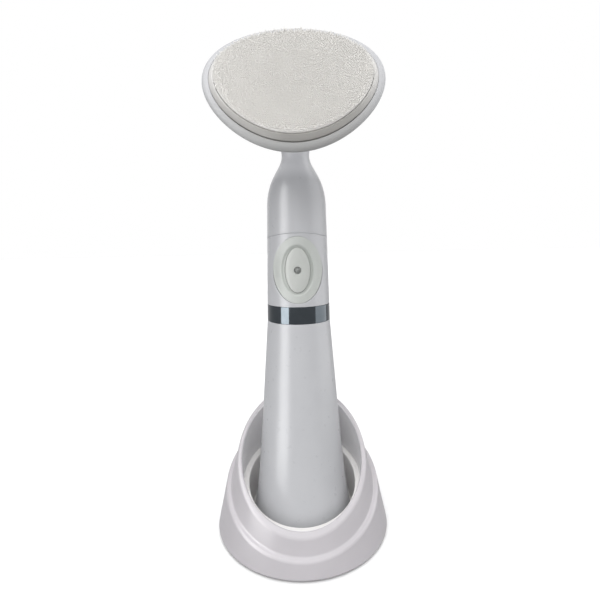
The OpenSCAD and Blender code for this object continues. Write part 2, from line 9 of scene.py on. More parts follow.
import bmesh
import bpy
import numpy as np
from mathutils import Matrix

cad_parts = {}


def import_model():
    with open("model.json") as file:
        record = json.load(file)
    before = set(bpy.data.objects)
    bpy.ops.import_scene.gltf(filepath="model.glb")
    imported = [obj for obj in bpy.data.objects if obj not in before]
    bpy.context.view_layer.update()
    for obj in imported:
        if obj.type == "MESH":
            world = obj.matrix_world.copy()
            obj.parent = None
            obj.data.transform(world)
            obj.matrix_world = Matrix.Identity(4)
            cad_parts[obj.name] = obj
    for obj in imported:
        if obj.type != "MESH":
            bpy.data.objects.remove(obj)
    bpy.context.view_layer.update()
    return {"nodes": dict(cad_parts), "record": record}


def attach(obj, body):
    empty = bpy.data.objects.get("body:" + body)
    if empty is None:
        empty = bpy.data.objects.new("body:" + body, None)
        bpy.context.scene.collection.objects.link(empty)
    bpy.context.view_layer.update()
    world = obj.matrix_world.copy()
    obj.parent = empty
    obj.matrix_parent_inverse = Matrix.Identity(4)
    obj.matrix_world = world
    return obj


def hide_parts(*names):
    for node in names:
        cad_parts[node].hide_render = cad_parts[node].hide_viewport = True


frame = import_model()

MM = 0.001
TURNS = 192  # columns round a swept shape
SMALL_TURNS = 48  # columns round a small one
MERGE_M, DEGENERATE_M = 2e-6, 1e-7
rng = np.random.default_rng(7)

# ---------- sizes, the same as in the CAD source ----------

SKIRT_Z = 0.8
SKIRT_R, SKIRT_TAPER = 30.6, 0.22
TIER_R, TIER_TAPER = 29.5, 0.25
FOOT_R, SEAT_R, SEAT_Z = 28.7, 28.5, 2.9
STEP_Z, STEP_SLOPE = 18.5, math.tan(math.radians(23.3))
RIM_Z, RIM_SLOPE = 30.4, math.tan(math.radians(35.4))
RIM_Y, RIM_INNER_R = -4, 20.75
LEDGE_Z, LEDGE_SLOPE = 15.7, math.tan(math.radians(17.2))
LEDGE_OUTER_R = 21
WELL_R, CUP_WALL, CUP_FLOOR_Z, CUP_BOTTOM_Z = 19.1, 1.3, 3.6, 2.4
FLANGE_R, FLANGE_T = 21.9, 1.5
TOWER_POS, TOWER_R, TOWER_HOLE_R, TOWER_Z = 24.6, 2.7, 1, 7.9

RING_R, BODY_TAPER, FLARE, FLARE_LENGTH = 10.7, 0.0793, 1.62, 9.6
BODY_Z, BODY_WALL = 4, 1.4
RING_Z, RING_TOP = 74, 79.6
BORE_R, BORE_Z, RECESS_R, RECESS_Z = 14.2, 16, 16, 5.6
SLOT_R, SLOT_LOW, SLOT_HIGH = 15, 8.7, 10.9
SLOT_START, LUG_START, LUG_END = -22.0, -2.0, 16.0
LUGS, LUG_PITCH = 3, 120
SHOULDER_R, SHOULDER_Z, NECK_R, NECK_Z = 9.75, 111, 4.5, 128
SHOULDER_BEND, NECK_BEND = 121.5, 123.5
UPPER_WALL, FRONT_WALL = 1.3, 1.35
SEAM_Z, SEAM_SLOPE = 101.15, -math.tan(math.radians(10))
INNER_R = 9.15

BUTTON_Z, NIB_Z = 91.3, 86.6
SURROUND_W, SURROUND_H = 15.9, 21.2
SURROUND_FACE, GROOVE_FACE = 10.45, 10.12

HEAD_Y, HEAD_Z, HEAD_TILT = 15.78, 144.26, math.radians(25)
BOWL_A, BOWL_B, BOWL_DEPTH, BOWL_WALL = 26, 21.7, 12, 1.6
BOWL_LIFT, BOWL_LIFT_DEPTH = 0.25, 5
BEZEL_A, BEZEL_B = 23.9, 19.3
PAD_A, PAD_B = 22.3, 17.8
SEAT_N, LIP_N = -3.5, -1
BEZEL_FOOT, BEZEL_TOP = -3.4, 1.3
ROOT_DEPTH, ROOT_RISE, ROOT_PULL = 8.0, 4.4, 7.0
MOUTH_X, MOUTH_W, MOUTH_N = 8.0, 6.2, -9.3
PASSAGE_R, PASSAGE_Z, PASSAGE_RISE = 2.7, 129.5, 3.0
PAD_H, CORE_TOP, CORE_FOOT = 2.1, 1.96, -0.6
EGG = 0.18
FIBRE_SIDES = 5

HEAD_PLACE = (0, -HEAD_Y, HEAD_Z)
HEAD_UP = (0, math.sin(HEAD_TILT), math.cos(HEAD_TILT))
HEAD_OUT = (0, -math.cos(HEAD_TILT), math.sin(HEAD_TILT))

# ---------- paths and grids ----------


def rounded(corners, closed=False, steps=5):
    """Points of a path through (values, setback) corners, each rounded off over its setback."""
    points = []
    count = len(corners)
    for i, (here, setback) in enumerate(corners):
        here = np.array(here, float)
        if setback <= 0 or not (closed or 0 < i < count - 1):
            points.append(here)
            continue
        before = np.array(corners[i - 1][0], float) - here
        after = np.array(corners[(i + 1) % count][0], float) - here
        start = here + before * min(0.5, setback / max(np.linalg.norm(before), 1e-6))
        end = here + after * min(0.5, setback / max(np.linalg.norm(after), 1e-6))
        for t in np.linspace(0, 1, steps + 1):
            points.append((1 - t) ** 2 * start + 2 * t * (1 - t) * here + t * t * end)
    return np.array(points)


def bezier(p, steps):
    """Rows of points along a cubic Bezier whose four control values are arrays."""
    return [
        (1 - t) ** 3 * p[0] + 3 * t * (1 - t) ** 2 * p[1] + 3 * t * t * (1 - t) * p[2] + t**3 * p[3]
        for t in np.linspace(0, 1, steps + 1)
    ]


def swept(profile, angles=None):
    """Grid of points from a (radius, height) path at each angle about the Z axis."""
    if angles is None:
        angles = np.radians(np.linspace(0, 360, TURNS, endpoint=False))
    rows = []
    for a in angles:
        path = profile(a)
        rows.append(np.column_stack([path[:, 0] * math.cos(a), path[:, 0] * math.sin(a), path[:, 1]]))
    return np.array(rows)


def cone_cut(r, taper, z, slope, s):
    """(radius, height) where a cone meets a plane that rises with y, towards the direction of sine s."""
    height = (z + r * slope * s) / (1 + taper * slope * s)
    return r - taper * height, height


def circle_from_axis(r, y, a):
    """Distance from the Z axis to a circle of radius r centred at (0, y), along angle a."""
    s = math.sin(a)
    return y * s + math.sqrt(r * r - y * y * math.cos(a) ** 2)


def egg(a, b, t):
    """The head's outline in its own plane."""
    return np.column_stack([a * np.cos(t) * (1 + EGG * np.sin(t)), b * np.sin(t)])


def in_head(points):
    """Points across, up and out of the brush face, moved to where the head is."""
    x, w, n = points[..., 0], points[..., 1], points[..., 2]
    s, c = math.sin(HEAD_TILT), math.cos(HEAD_TILT)
    return np.stack([x, -HEAD_Y + w * s - n * c, HEAD_Z + w * c + n * s], axis=-1)


def egg_rows(a, b, path):
    """Rows of egg outlines for a path of (growth, height out of the face)."""
    t = np.radians(np.linspace(0, 360, TURNS, endpoint=False))
    rows = []
    for grow, n in path:
        rows.append(in_head(np.column_stack([egg(a + grow, b + grow, t), np.full(len(t), n)])))
    return rows


def oval_rows(path):
    """Rows of ovals on the handle's front for a path of (half width, half height, radius from the axis)."""
    t = np.radians(np.linspace(0, 360, TURNS, endpoint=False))
    rows = []
    for a, b, r in path:
        x = a * np.cos(t)
        rows.append(np.column_stack([x, -np.sqrt(r * r - x * x), BUTTON_Z + b * np.sin(t)]))
    return np.array(rows)


def make_mesh(name, grids):
    """One closed mesh from grids of points in millimetres; grids are joined where their edges meet.

    Each grid is (rows, whether the last row joins the first, whether the last column joins the first).
    """
    points, faces = [], []
    for rows, wrap_rows, wrap_columns in grids:
        rows = np.asarray(rows)
        m, n = rows.shape[:2]
        start = sum(len(p) for p in points)
        points.append(rows.reshape(-1, 3))
        for i in range(m if wrap_rows else m - 1):
            for j in range(n if wrap_columns else n - 1):
                here = start + i * n
                after = start + (i + 1) % m * n
                j2 = (j + 1) % n
                faces.append([here + j, here + j2, after + j2, after + j])
    mesh = bpy.data.meshes.new(name)
    mesh.from_pydata((np.vstack(points) * MM).tolist(), [], faces)
    bm = bmesh.new()
    bm.from_mesh(mesh)
    bmesh.ops.remove_doubles(bm, verts=bm.verts, dist=MERGE_M)
    bmesh.ops.dissolve_degenerate(bm, edges=bm.edges, dist=DEGENERATE_M)
    bmesh.ops.recalc_face_normals(bm, faces=bm.faces)
    bm.to_mesh(mesh)
    bm.free()
    return mesh


def add_piece(name, mesh, body, slot, nodes, look=None, sharp=38):
    """Puts a mesh in the scene as a piece that rides on a body and stands for CAD nodes."""
    piece = bpy.data.objects.new(name, mesh)
    bpy.context.scene.collection.objects.link(piece)
    mesh.materials.append(LOOKS[look or slot])
    mesh.shade_smooth()
    if sharp:
        mesh.set_sharp_from_angle(angle=math.radians(sharp))
        weighted = piece.modifiers.new("even_shading", "WEIGHTED_NORMAL")
        weighted.keep_sharp = True
    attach(piece, body)
    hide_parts(*nodes)


# ---------- materials ----------


class Graph:
    """Small helper that adds and joins shader nodes."""

    def __init__(self, name):
        self.material = bpy.data.materials.new(name)
        self.material.use_nodes = True
        self.tree = self.material.node_tree
        self.shader = self.tree.nodes["Principled BSDF"]
        self.place = self.add("ShaderNodeTexCoord").outputs["Object"]

    def add(self, kind, **values):
        node = self.tree.nodes.new(kind)
        for key, value in values.items():
            setattr(node, key, value)
        return node

    def link(self, source, target):
        self.tree.links.new(source, target)

    def noise(self, size_mm, detail=2.0):
        """Noise with features of about size_mm."""
        noise = self.add("ShaderNodeTexNoise")
        noise.inputs["Scale"].default_value = 1 / (size_mm * MM)
        noise.inputs["Detail"].default_value = detail
        self.link(self.place, noise.inputs["Vector"])
        return noise.outputs["Fac"]

    def ramp(self, value, low, high, to_low=0.0, to_high=1.0):
        """A value from low to high, turned into one from to_low to to_high."""
        node = self.add("ShaderNodeMapRange", interpolation_type="SMOOTHSTEP")
        for key, number in zip(("From Min", "From Max", "To Min", "To Max"), (low, high, to_low, to_high)):
            node.inputs[key].default_value = number
        self.link(value, node.inputs["Value"])
        return node.outputs["Result"]

    def mix(self, fac, a, b):
        """Colour between a and b, each a colour or a socket."""
        node = self.add("ShaderNodeMix", data_type="RGBA")
        self.link(fac, node.inputs["Factor"])
        for socket, value in ((node.inputs[6], a), (node.inputs[7], b)):
            if isinstance(value, tuple):
                socket.default_value = (*value, 1)
            else:
                self.link(value, socket)
        return node.outputs[2]

    def along(self, direction, origin=(0, 0, 0)):
        """Distance in millimetres along a direction from an origin given in millimetres."""
        shift = self.add("ShaderNodeVectorMath", operation="SUBTRACT")
        shift.inputs[1].default_value = [v * MM for v in origin]
        self.link(self.place, shift.inputs[0])
        dot = self.add("ShaderNodeVectorMath", operation="DOT_PRODUCT")
        dot.inputs[1].default_value = [v / MM for v in direction]
        self.link(shift.outputs["Vector"], dot.inputs[0])
        return dot.outputs["Value"]

    def from_axis(self):
        """Distance in millimetres from the Z axis."""
        flat = self.add("ShaderNodeVectorMath", operation="MULTIPLY")
        flat.inputs[1].default_value = (1 / MM, 1 / MM, 0)
        self.link(self.place, flat.inputs[0])
        length = self.add("ShaderNodeVectorMath", operation="LENGTH")
        self.link(flat.outputs["Vector"], length.inputs[0])
        return length.outputs["Value"]

    def sum(self, a, b, share=1.0):
        """a plus a share of b."""
        node = self.add("ShaderNodeMath", operation="MULTIPLY_ADD")
        node.inputs[1].default_value = share
        self.link(b, node.inputs[0])
        self.link(a, node.inputs[2])
        return node.outputs["Value"]

    def clouds(self, size_mm, detail=3.0):
        """Soft patches, from 0 to 1."""
        return self.ramp(self.noise(size_mm, detail), 0.3, 0.7)

    def gloss(self, size_mm, low, high):
        """Roughness that varies between low and high in patches of about size_mm."""
        return self.ramp(self.noise(size_mm, 3.0), 0.25, 0.75, low, high)

    def bump(self, height, depth_mm, strength=1.0):
        """Raises the shading by up to depth_mm where height is 1."""
        node = self.add("ShaderNodeBump")
        node.inputs["Strength"].default_value = strength
        node.inputs["Distance"].default_value = depth_mm * MM
        self.link(height, node.inputs["Height"])
        self.link(node.outputs["Normal"], self.shader.inputs["Normal"])


def look(
    name,
    color,
    shade,
    rough,
    cloud=9.0,
    grain=0.35,
    depth=0.003,
    metal=0.0,
    **constant,
):
    """A moulded or machined surface: clouds between two colours, uneven gloss and a fine grain."""
    g = Graph(name)
    g.link(g.mix(g.clouds(cloud), color, shade), g.shader.inputs["Base Color"])
    g.link(g.gloss(grain * 5, *rough), g.shader.inputs["Roughness"])
    g.bump(g.noise(grain), depth)
    g.shader.inputs["Metallic"].default_value = metal
    for key, value in constant.items():
        g.shader.inputs[key.replace("_", " ").title().replace("Ior", "IOR")].default_value = value
    return g.material


LOOKS = {
    "foot_rubber": look(
        "foot_rubber_matt", (0.42, 0.42, 0.42), (0.36, 0.36, 0.36), (0.75, 0.9), 2, 0.15, 0.02
    ),
    "screw_steel": look(
        "screw_steel_turned", (0.55, 0.55, 0.56), (0.42, 0.42, 0.43), (0.25, 0.4), 1, 0.1, 0.004, metal=1.0
    ),
    "seal_rubber": look(
        "seal_rubber_black", (0.06, 0.06, 0.065), (0.09, 0.09, 0.09), (0.5, 0.65), 2, 0.15, 0.01
    ),
    "inner_plastic": look(
        "inner_plastic_grey", (0.58, 0.58, 0.57), (0.54, 0.54, 0.53), (0.42, 0.55), 4, 0.2, 0.006
    ),
    "contact_metal": look(
        "contact_metal_plated", (0.85, 0.70, 0.42), (0.74, 0.60, 0.36), (0.2, 0.35), 1.5, 0.1, metal=1.0
    ),
    "housing_plastic": look(
        "housing_plastic_pearl",
        (0.50, 0.505, 0.52),
        (0.485, 0.49, 0.505),
        (0.27, 0.35),
        depth=0.0015,
        specular_ior_level=0.35,
    ),
    "trim_chrome": look(
        "trim_dark_chrome",
        (0.066, 0.076, 0.084),
        (0.073, 0.083, 0.092),
        (0.06, 0.12),
        3,
        0.3,
        0.0006,
        metal=1.0,
    ),
    "cell_jacket": look(
        "cell_jacket_foil", (0.10, 0.22, 0.40), (0.07, 0.17, 0.33), (0.22, 0.32), 6, 0.3
    ),
    "lead_insulation": look(
        "lead_insulation_red", (0.45, 0.05, 0.04), (0.38, 0.04, 0.03), (0.35, 0.5), 2, 0.2, 0.004
    ),
    "board": look(
        "board_solder_mask", (0.03, 0.16, 0.07), (0.02, 0.12, 0.05), (0.2, 0.35), 1.2, 0.2, 0.006
    ),
    "board_parts": look(
        "board_parts_epoxy", (0.05, 0.05, 0.055), (0.09, 0.09, 0.09), (0.4, 0.6), 1.5, 0.1, 0.006
    ),
    "led_lens": look(
        "led_lens_clear", (0.62, 0.72, 0.62), (0.50, 0.62, 0.50), (0.05, 0.1), 1, 0.2, 0.001
    ),
    "button_soft": look(
        "button_soft_touch", (0.49, 0.505, 0.48), (0.475, 0.49, 0.465), (0.50, 0.60), 3, 0.12, 0.004
    ),
    "lens_smoke": look(
        "lens_smoke_tinted",
        (0.20, 0.21, 0.20),
        (0.16, 0.17, 0.16),
        (0.08, 0.14),
        0.8,
        0.1,
        0.001,
        coat_weight=0.6,
    ),
    "motor_steel": look(
        "motor_steel_drawn", (0.50, 0.50, 0.51), (0.40, 0.40, 0.41), (0.22, 0.36), 3, 0.12, metal=1.0
    ),
}


def stand_look(outside, inside, rough):
    """Satin plastic of the stand, paler on the wall that faces the handle: painted light that lifts the shade
    inside the stand.
    """
    g = Graph("stand_plastic_satin")
    reach = g.sum(g.from_axis(), g.along((0, 0, 1)), TIER_TAPER)
    out = g.ramp(reach, TIER_R - 1.9, TIER_R - 1.3)
    clouds = g.ramp(g.noise(9.0, 3.0), 0.3, 0.7, 0.965, 1.0)
    # painted light: the inside colour is far paler than the outside, to lift the shade in the stand's hollow
    tone = g.mix(out, inside, outside)
    shaded = g.add("ShaderNodeVectorMath", operation="SCALE")
    g.link(tone, shaded.inputs[0])
    g.link(clouds, shaded.inputs["Scale"])
    g.link(shaded.outputs["Vector"], g.shader.inputs["Base Color"])
    g.link(g.gloss(1.7, *rough), g.shader.inputs["Roughness"])
    g.bump(g.noise(0.35), 0.002)
    g.shader.inputs["Specular IOR Level"].default_value = 0.4
    return g.material


def cup_look(front, back, rough):
    """Warm satin plastic of the well, paler towards its back: painted light that lifts the shade on the
    well's back and sides.
    """
    g = Graph("stand_cup_satin")
    painted_light_back = g.ramp(g.along((0, 1, 0)), -WELL_R, -0.35 * WELL_R)
    warm = g.mix(g.clouds(9.0), front, tuple(v * 0.97 for v in front))
    # painted light: the well turns paler towards its back and sides, where it lies in shade
    g.link(g.mix(painted_light_back, warm, back), g.shader.inputs["Base Color"])
    g.link(g.gloss(1.7, *rough), g.shader.inputs["Roughness"])
    g.bump(g.noise(0.35), 0.002)
    return g.material


def upper_look(color, painted_shade_under, neck, rough):
    """Pearl plastic of the upper housing: greyer and rougher at the bowl's lower edge, where the grey is
    painted shade, and paler on the neck, a painted highlight.
    """
    g = Graph("upper_plastic_pearl")
    rise = g.ramp(g.along(HEAD_UP, HEAD_PLACE), -BOWL_B, 0.3 * BOWL_B)
    front = g.ramp(g.along(HEAD_OUT, HEAD_PLACE), -6.0, -1.5)
    plain = g.mix(g.clouds(9.0), color, tuple(v * 0.97 for v in color))
    # painted highlight: the front of the neck, just below the bowl, turns paler
    painted_neck_highlight = g.add("ShaderNodeMath", operation="MULTIPLY")
    g.link(g.ramp(g.along((0, 0, 1)), NECK_Z - 9, NECK_Z - 4), painted_neck_highlight.inputs[0])
    g.link(g.ramp(g.along((0, -1, 0)), 0.5, 4.0), painted_neck_highlight.inputs[1])
    body = g.mix(painted_neck_highlight.outputs["Value"], plain, neck)
    # painted shade: the bowl's lower edge turns greyer
    edge = g.mix(rise, painted_shade_under, plain)
    g.link(g.mix(front, body, edge), g.shader.inputs["Base Color"])
    g.link(g.sum(g.gloss(1.7, *rough), front, 0.30), g.shader.inputs["Roughness"])
    g.bump(g.noise(0.35), 0.0015)
    g.shader.inputs["Specular IOR Level"].default_value = 0.35
    return g.material


def bezel_look(painted_shade_under, side):
    """Satin plastic that is darker round the lower half of the pad, a painted shade, and paler at the sides
    and top, a painted highlight.
    """
    g = Graph("bezel_satin_painted_shade_and_highlight")
    rise = g.ramp(g.along(HEAD_UP, HEAD_PLACE), -0.75 * BEZEL_B, 0.25 * BEZEL_B)
    low = g.mix(g.clouds(6.0), painted_shade_under, tuple(v * 0.95 for v in painted_shade_under))
    # painted shade round the lower half, painted highlight on the paler sides and top
    g.link(g.mix(rise, low, side), g.shader.inputs["Base Color"])
    g.link(g.gloss(2.0, 0.48, 0.58), g.shader.inputs["Roughness"])
    g.bump(g.noise(0.4), 0.0008)
    g.shader.inputs["Specular IOR Level"].default_value = 0.3
    return g.material


def surround_look(face, shade, groove):
    """Soft-touch plastic with painted shade that darkens the groove round the button."""
    g = Graph("surround_soft_touch")
    raised = g.ramp(g.from_axis(), GROOVE_FACE, SURROUND_FACE - 0.03)
    # painted shade: the groove's floor, nearer the axis, takes the darker colour
    g.link(g.mix(raised, groove, g.mix(g.clouds(3.0), face, shade)), g.shader.inputs["Base Color"])
    g.link(g.gloss(0.6, 0.50, 0.62), g.shader.inputs["Roughness"])
    g.bump(g.noise(0.12), 0.004)
    return g.material


def bristle_look(tip, root, low, high):
    """Fibre that varies from tuft to tuft, with painted shade that darkens it towards its root."""
    g = Graph("bristle_fibre_cream")
    height = g.ramp(g.along(HEAD_OUT, HEAD_PLACE), low, high)
    warm = g.mix(g.clouds(7.0, 2.0), tip, tuple(v * 0.965 for v in tip))
    speckled = g.mix(g.clouds(0.45, 1.0), warm, tuple(v * 0.97 for v in tip))
    # painted shade: the fibre darkens from its tip down to its root, deep in the pad
    g.link(g.mix(height, root, speckled), g.shader.inputs["Base Color"])
    g.link(g.ramp(g.noise(0.3), 0.3, 0.7, 0.62, 0.8), g.shader.inputs["Roughness"])
    g.bump(g.noise(0.12), 0.004, 0.6)
    g.shader.inputs["Sheen Weight"].default_value = 0.25
    g.shader.inputs["Sheen Roughness"].default_value = 0.5
    return g.material


# the second colour is painted light for the shaded back and sides of the well
LOOKS["stand_cup_plastic"] = cup_look((0.76, 0.745, 0.73), (0.93, 0.915, 0.90), (0.34, 0.42))
# the second colour is painted light for the shaded inside of the stand
LOOKS["stand_plastic"] = stand_look((0.49, 0.47, 0.49), (0.92, 0.91, 0.92), (0.30, 0.38))
# the second colour is painted shade for the bowl's lower edge, the third a painted highlight on the neck
LOOKS["upper_plastic"] = upper_look(
    (0.50, 0.505, 0.52), (0.33, 0.33, 0.325), (0.74, 0.745, 0.76), (0.27, 0.35)
)
# the first colour is painted shade for the lower half, the second a painted highlight for the sides and top
LOOKS["bezel_plastic"] = bezel_look((0.38, 0.37, 0.35), (0.66, 0.65, 0.63))
# the third colour is painted shade for the groove
LOOKS["groove_soft"] = surround_look((0.485, 0.505, 0.48), (0.47, 0.49, 0.465), (0.36, 0.38, 0.355))
# the second colour is painted shade for the fibres' roots
LOOKS["bristle_fibre"] = bristle_look((0.79, 0.776, 0.748), (0.66, 0.641, 0.613), 0.9, 2.0)

# ---------- stand ----------


def stand_outline(a):
    """Section of the shell in the direction a: skirt, step, tier, rim and the wall down to the ledge."""
    s = math.sin(a)
    rim_r = circle_from_axis(RIM_INNER_R, RIM_Y, a)
    ledge = LEDGE_Z + 0.05
    inner_r, inner_z = cone_cut(TIER_R - 1.6, TIER_TAPER, ledge, LEDGE_SLOPE, s)
    return rounded(
        [
            ((SKIRT_R - SKIRT_TAPER * SKIRT_Z, SKIRT_Z), 0.35),
            (cone_cut(SKIRT_R, SKIRT_TAPER, STEP_Z, STEP_SLOPE, s), 0.75),
            (cone_cut(TIER_R, TIER_TAPER, STEP_Z, STEP_SLOPE, s), 0.45),
            (cone_cut(TIER_R, TIER_TAPER, RIM_Z, RIM_SLOPE, s), 0.7),
            ((rim_r, RIM_Z + RIM_SLOPE * rim_r * s), 0.65),
            ((LEDGE_OUTER_R, ledge + LEDGE_SLOPE * LEDGE_OUTER_R * s), 0.25),
            ((inner_r, inner_z), 0),
            ((SEAT_R, SEAT_Z), 0),
            ((FOOT_R, SKIRT_Z), 0.2),
        ],
        closed=True,
    )


def cup_outline(a):
    """Section of the cup in the direction a: floor, wall and the slanted ledge."""
    s = math.sin(a)

    def ledge(r, down=0.0):
        return (r, LEDGE_Z - down + LEDGE_SLOPE * r * s)

    outer = WELL_R + CUP_WALL
    return rounded(
        [
            ((0, CUP_BOTTOM_Z), 0),
            ((outer, CUP_BOTTOM_Z), 0.3),
            (ledge(outer, FLANGE_T), 0.2),
            (ledge(FLANGE_R, FLANGE_T), 0.2),
            (ledge(FLANGE_R), 0.2),
            (ledge(WELL_R), 0.55),
            ((WELL_R, CUP_FLOOR_Z), 0.8),
            ((0, CUP_FLOOR_Z), 0),
        ]
    )


def tower_grids():
    """Four hollow screw posts inside the shell."""
    grids = []
    around = np.radians(np.linspace(0, 360, SMALL_TURNS, endpoint=False))
    path = rounded(
        [
            ((TOWER_R, CUP_FLOOR_Z), 0.2),
            ((TOWER_R, TOWER_Z), 0.2),
            ((TOWER_HOLE_R, TOWER_Z), 0),
            ((TOWER_HOLE_R, CUP_FLOOR_Z), 0.1),
        ],
        closed=True,
    )
    for quarter in range(4):
        turn = quarter * math.pi / 2
        centre = TOWER_POS * np.array([math.cos(turn), math.sin(turn), 0])
        grids.append((swept(lambda a: path, around) + centre, True, True))
    return grids


add_piece(
    "stand_outer",
    make_mesh("stand_outer", [(swept(stand_outline), True, True)]),
    "stand",
    "stand_plastic",
    ["stand_shell"],
)
add_piece(
    "stand_bosses",
    make_mesh("stand_bosses", tower_grids()),
    "stand",
    "stand_plastic",
    ["stand_shell"],
)
add_piece(
    "stand_well",
    make_mesh("stand_well", [(swept(cup_outline), True, False)]),
    "stand",
    "stand_plastic",
    ["stand_cup"],
    look="stand_cup_plastic",
)

# ---------- handle ----------


def body_r(z):
    """Outer radius of the lower housing, which widens to its foot."""
    return RING_R + BODY_TAPER * (RING_Z - z) + FLARE * math.exp((BODY_Z - z) / FLARE_LENGTH)


def upper_r(z):
    """Outer radius of the handle between the trim ring and the shoulder."""
    return RING_R - 0.1 - (z - RING_TOP) * (RING_R - 0.1 - SHOULDER_R) / (SHOULDER_Z - RING_TOP)


def lower_outline(low, high):
    """Outline of the lower housing where the bayonet's slot has these depths below and beside the lugs."""
    outer = [((body_r(z), z), 0) for z in np.linspace(4.9, 73, 48)]
    inner = [((body_r(z) - BODY_WALL, z), 0) for z in np.linspace(70, BORE_Z, 24)]
    return rounded(
        [((RECESS_R, BODY_Z), 0.2), ((body_r(BODY_Z), BODY_Z), 0.7)]
        + outer
        + [((RING_R, RING_Z), 0.22), ((RING_R - BODY_WALL, RING_Z), 0.2)]
        + inner
        + [
            ((BORE_R, BORE_Z), 0),
            ((BORE_R, SLOT_HIGH), 0),
            ((high, SLOT_HIGH), 0),
            ((high, SLOT_LOW), 0),
            ((low, SLOT_LOW), 0),
            ((low, RECESS_Z), 0),
            ((RECESS_R, RECESS_Z), 0),
        ],
        closed=True,
    )


def lower_grid():
    """The lower housing with three L-shaped bayonet slots in its bore."""
    plain = lower_outline(BORE_R, BORE_R)
    side = lower_outline(BORE_R, SLOT_R)
    full = lower_outline(SLOT_R, SLOT_R)
    spans = [
        (SLOT_START, LUG_START, side),
        (LUG_START, LUG_END, full),
        (LUG_END, SLOT_START + LUG_PITCH, plain),
    ]
    rows = []
    for lug in range(LUGS):
        for start, end, path in spans:
            for turn in np.linspace(start, end, max(3, int((end - start) / 360 * TURNS))):
                a = math.radians(turn + LUG_PITCH * lug)
                r, z = path[:, 0], path[:, 1]
                rows.append(np.column_stack([r * math.cos(a), r * math.sin(a), z]))
    return np.array(rows)


TRIM_PATH = rounded(
    [
        ((RING_R, RING_Z), 0.14),
        ((RING_R - 0.1, RING_TOP), 0.14),
        ((INNER_R, RING_TOP), 0.1),
        ((INNER_R, RING_Z), 0.1),
    ],
    closed=True,
)
add_piece(
    "handle_lower",
    make_mesh("handle_lower", [(lower_grid(), True, True)]),
    "handle",
    "housing_plastic",
    ["lower_housing"],
)
add_piece(
    "trim_ring",
    make_mesh("trim_ring", [(swept(lambda a: TRIM_PATH), True, True)]),
    "handle",
    "trim_chrome",
    ["chrome_ring"],
)


def on_handle(turn, z, r):
    """Points on the handle, with turn counted from the front."""
    return np.stack([r * np.sin(turn), -r * np.cos(turn), z], axis=-1)


def seam_height(r, turn):
    """Height of the slanted seam, with turn counted from the front."""
    return SEAM_Z - SEAM_SLOPE * r * np.cos(turn)


def front_grids():
    """The band between the trim ring and the seam, with the button's oval hole through its front.

    The columns run round the hole and, at the same time, round the band's outer border: along the seam,
    down the back, along the ring and up the back. The rows fan out from the hole to that border.
    """
    soft, step_depth = 0.1, 0.3
    half = 56
    lean = np.linspace(1, -1, 2 * half, endpoint=False)
    side = np.linspace(-1, 1, half // 2 * 2, endpoint=False)
    corner = math.radians(38)
    flat = math.pi - 2 * corner
    top = [(math.pi * np.sign(u) * abs(u) ** 1.5, 1, math.pi / 2 - u * flat / 2) for u in lean]
    left = [(-math.pi, -v, math.pi + v * corner) for v in side]
    bottom = [(-math.pi * np.sign(u) * abs(u) ** 1.5, -1, 1.5 * math.pi - u * flat / 2) for u in lean]
    right = [(math.pi, v, v * corner) for v in side]
    turn, level, phi = (np.array(v, float) for v in zip(*(top + left + bottom + right)))
    spread = np.linspace(0, 1, 14) ** 1.4

    def patch(depth, edge, hole):
        """The skin at a depth in the wall, drawn in by edge at its border and by hole round the hole."""
        r_top = upper_r(SEAM_Z) - depth
        z_top, z_low = seam_height(r_top, turn) - edge, RING_TOP + edge
        z_end = z_low + (z_top - z_low) * (level + 1) / 2
        x = (SURROUND_W / 2 + hole) * np.cos(phi)
        z = BUTTON_Z + (SURROUND_H / 2 + hole) * np.sin(phi)
        z = np.minimum(z, seam_height(r_top, np.arcsin(x / r_top)) - edge - 0.12)
        start = np.arcsin(x / (upper_r(BUTTON_Z) - depth))
        rows = []
        for f in spread:
            t, h = start + (turn - start) * f, z + (z_end - z) * f
            rows.append(on_handle(t, h, np.array([upper_r(v) for v in h]) - depth))
        return np.array(rows)

    def ease(a, b, c):
        """Rows of a soft edge from a to c, round a corner at b."""
        return np.array([(1 - t) ** 2 * a + 2 * t * (1 - t) * b + t * t * c for t in np.linspace(0, 1, 5)])

    outer, inner = patch(0, soft, soft), patch(FRONT_WALL, 0, 0)
    sharp, step = patch(0, 0, 0), patch(step_depth, 0, 0)
    hole = np.concatenate([ease(outer[0], sharp[0], step[0]), inner[:1]])
    cuff = np.concatenate([ease(outer[-1], sharp[-1], step[-1]), inner[-1:]])
    grids = [(outer, False, True), (inner, False, True), (hole, False, True)]
    count = len(lean)
    across = count + len(side)
    for first in (0, across):
        pick = [(first + k) % len(turn) for k in range(count + 1)]
        grids.append((cuff[:, pick], False, False))
    return grids


add_piece(
    "handle_front",
    make_mesh("handle_front", front_grids()),
    "handle",
    "housing_plastic",
    ["button_housing"],
)

# ---------- upper housing: shoulder, neck and bowl in one skin ----------


def bowl_row(t, depth, a, b, total):
    """One section of the bowl at a depth behind its lip."""
    size = (1 - (min(depth, total) / total) ** 1.8) ** 0.75
    outline = egg(a * size, b * size, t)
    outline[:, 1] += BOWL_LIFT * min(depth, BOWL_LIFT_DEPTH)
    return in_head(np.column_stack([outline, np.full(len(t), LIP_N - depth)]))


def ring_row(t, r, z):
    """A level circle."""
    return np.column_stack([r * np.cos(t), r * np.sin(t), np.full(len(t), z)])


def seam_row(t, r, lift):
    """A row that lies along the slanted seam, raised by lift."""
    y = r * np.sin(t)
    return np.column_stack([r * np.cos(t), y, SEAM_Z + SEAM_SLOPE * y + lift])


def shoulder_rows(t, wall):
    """Circles from the shoulder in to the neck, at a depth in the wall."""
    shoulder_r, neck_r = SHOULDER_R - wall, NECK_R - wall
    control = [
        np.array([shoulder_r, SHOULDER_Z]),
        np.array([shoulder_r, SHOULDER_BEND]),
        np.array([neck_r, NECK_BEND]),
        np.array([neck_r, NECK_Z]),
    ]
    return [ring_row(t, r, z) for r, z in bezier(control, 26)]


